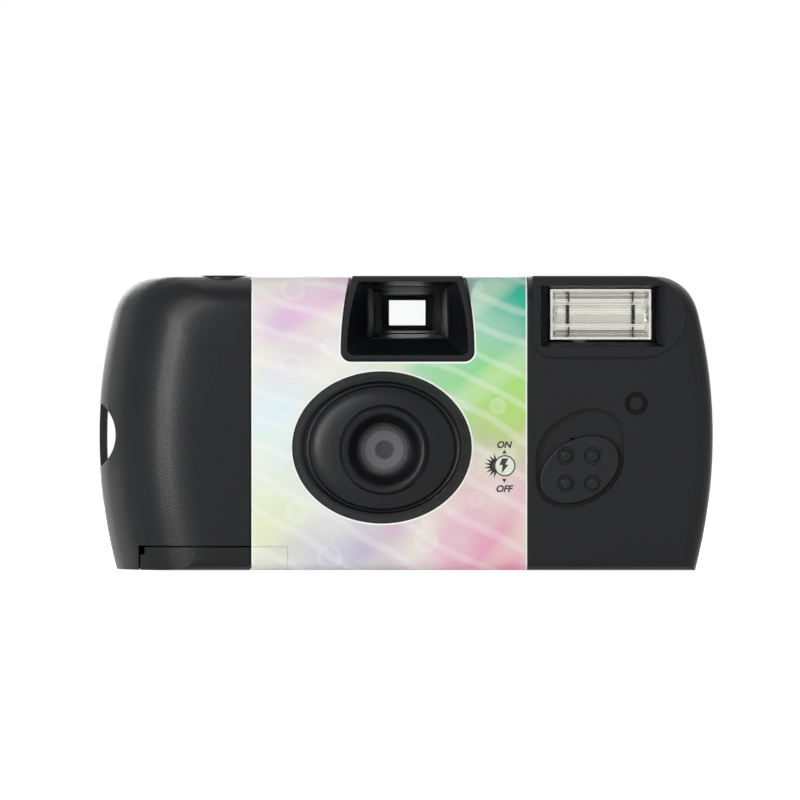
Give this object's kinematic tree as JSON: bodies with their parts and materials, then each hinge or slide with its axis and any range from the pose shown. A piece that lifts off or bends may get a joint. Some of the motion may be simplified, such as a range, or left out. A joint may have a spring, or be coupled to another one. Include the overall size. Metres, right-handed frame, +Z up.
{
  "type": "disposable film camera",
  "caption": "Single-use film camera with a wrapped label, finder hood, lens ring, built-in flash with a slide switch, thumb wheel, release button and film door",
  "frame": {"origin": "middle of the camera's outline on the surface it stands on", "axes": "+X to the viewer's right seen from the front, the lens looks along -Y, +Z up"},
  "size_m": [0.108, 0.034, 0.0517],
  "materials": {
    "black_plastic": "fine-grained moulded polystyrene",
    "inner_plastic": "plain moulded polystyrene",
    "grey_plastic": "fine-grained moulded plastic",
    "white_plastic": "plain moulded plastic",
    "finder_plastic": "satin moulded plastic",
    "clear_plastic": "polished clear acrylic",
    "flash_lens": "prismatic clear acrylic",
    "tube_glass": "drawn glass",
    "label_card": "printed and varnished card",
    "thin_steel": "rolled strip",
    "spring_wire": "drawn wire",
    "cartridge_tin": "lacquered tinplate",
    "black_felt": "short plush",
    "film_base": "coated film",
    "bright_reflector": "polished sheet",
    "board_laminate": "phenolic laminate",
    "capacitor_sleeve": "shrunk sleeve",
    "ferrite": "sintered ferrite with a taped winding",
    "coil_copper": "varnished winding",
    "resistor_body": "lacquered ceramic",
    "cell_jacket": "printed steel jacket"
  },
  "bodies": {
    "camera_body": {"front_cover": "black_plastic", "rear_cover": "black_plastic", "label_wrap": "label_card", "main_body": "inner_plastic", "lens_holder": "black_plastic", "taking_lens": "clear_plastic", "blade_spring": "spring_wire", "release_spring": "spring_wire", "drive_spring": "spring_wire", "counter_window": "clear_plastic", "viewfinder_frame": "finder_plastic", "viewfinder_front_lens": "clear_plastic", "eyepiece_lens": "clear_plastic", "cartridge_shell": "cartridge_tin", "cartridge_caps": "cartridge_tin", "light_trap_felt": "black_felt", "film_strip": "film_base", "flash_window": "flash_lens", "flash_reflector": "bright_reflector", "flash_tube": "tube_glass", "circuit_board": "board_laminate", "main_capacitor": "capacitor_sleeve", "transformer": "ferrite", "trigger_coil": "coil_copper", "ready_lamp": "tube_glass", "resistors": "resistor_body", "transistor": "black_plastic", "battery": "cell_jacket", "battery_contact_negative": "thin_steel", "battery_contact_positive": "thin_steel", "sync_contacts": "thin_steel", "switch_contact": "thin_steel"},
    "door": {"cartridge_door": "black_plastic", "label_flap": "label_card"},
    "button": {"shutter_button": "grey_plastic", "button_spring": "spring_wire"},
    "release": {"release_lever": "inner_plastic"},
    "drive": {"drive_lever": "inner_plastic"},
    "blade": {"shutter_blade": "thin_steel"},
    "wheel": {"winding_wheel": "black_plastic", "cartridge_spool": "grey_plastic"},
    "pawl": {"wheel_pawl": "inner_plastic"},
    "sprocket": {"sprocket_wheel": "inner_plastic", "cam_disc": "inner_plastic"},
    "counter": {"counter_wheel": "white_plastic"},
    "film_supply": {"film_roll": "film_base", "supply_spool": "white_plastic"},
    "switch": {"flash_switch": "grey_plastic", "light_guide": "clear_plastic"}
  },
  "joints": [
    {"name": "door_hinge", "type": "hinge", "parent": "camera_body", "child": "door", "pos_m": [-0.0335, 0.015, 0.0006], "axis": [1, 0, 0], "range_deg": [0, 100]},
    {"name": "button_press", "type": "slide", "parent": "camera_body", "child": "button", "axis": [0, 0, -1], "range_m": [0, 0.0008], "stiffness_N_per_m": 300, "deforming": ["button_spring"]},
    {"name": "release_pivot", "type": "hinge", "parent": "camera_body", "child": "release", "pos_m": [-0.0182, -0.00915, 0.0372], "axis": [0, 1, 0], "range_deg": [0, 12.15]},
    {"name": "drive_pivot", "type": "hinge", "parent": "camera_body", "child": "drive", "pos_m": [-0.013, 0.0006, 0.0449], "axis": [0, 0, 1], "range_deg": [0, 5.5], "stiffness_Nm_per_rad": 0.0008},
    {"name": "blade_pivot", "type": "hinge", "parent": "camera_body", "child": "blade", "pos_m": [-0.0098, -0.0092, 0.0286], "axis": [0, 1, 0], "range_deg": [0, 24], "stiffness_Nm_per_rad": 0.00008, "springref_deg": -22.92},
    {"name": "wheel_turn", "type": "hinge", "parent": "camera_body", "child": "wheel", "pos_m": [-0.034, 0.0032, 0.046], "axis": [0, 0, 1], "continuous": true},
    {"name": "pawl_pivot", "type": "hinge", "parent": "camera_body", "child": "pawl", "pos_m": [-0.0184, 0.0007, 0.0454], "axis": [0, 0, 1], "range_deg": [-8, 0], "stiffness_Nm_per_rad": 0.0004},
    {"name": "sprocket_turn", "type": "hinge", "parent": "camera_body", "child": "sprocket", "pos_m": [-0.0156, 0.00865, 0.0369], "axis": [0, 0, 1], "continuous": true},
    {"name": "counter_turn", "type": "hinge", "parent": "camera_body", "child": "counter", "pos_m": [-0.0162, -0.0012, 0.0482], "axis": [0, 0, 1], "continuous": true},
    {"name": "film_roll_turn", "type": "hinge", "parent": "camera_body", "child": "film_supply", "pos_m": [0.04, 0.0065, 0.0228], "axis": [0, 0, 1], "continuous": true},
    {"name": "flash_slide", "type": "slide", "parent": "camera_body", "child": "switch", "axis": [0, 0, 1], "range_m": [0, 0.004]}
  ],
  "couplings": [
    {"joint": "release_pivot", "follows": "button_press", "rad_per_m": 265.09},
    {"joint": "blade_pivot", "follows": "drive_pivot", "ratio": 4.3631},
    {"joint": "sprocket_turn", "follows": "wheel_turn", "ratio": 1},
    {"joint": "counter_turn", "follows": "wheel_turn", "ratio": -0.03125},
    {"joint": "film_roll_turn", "follows": "wheel_turn", "ratio": 0.75}
  ]
}
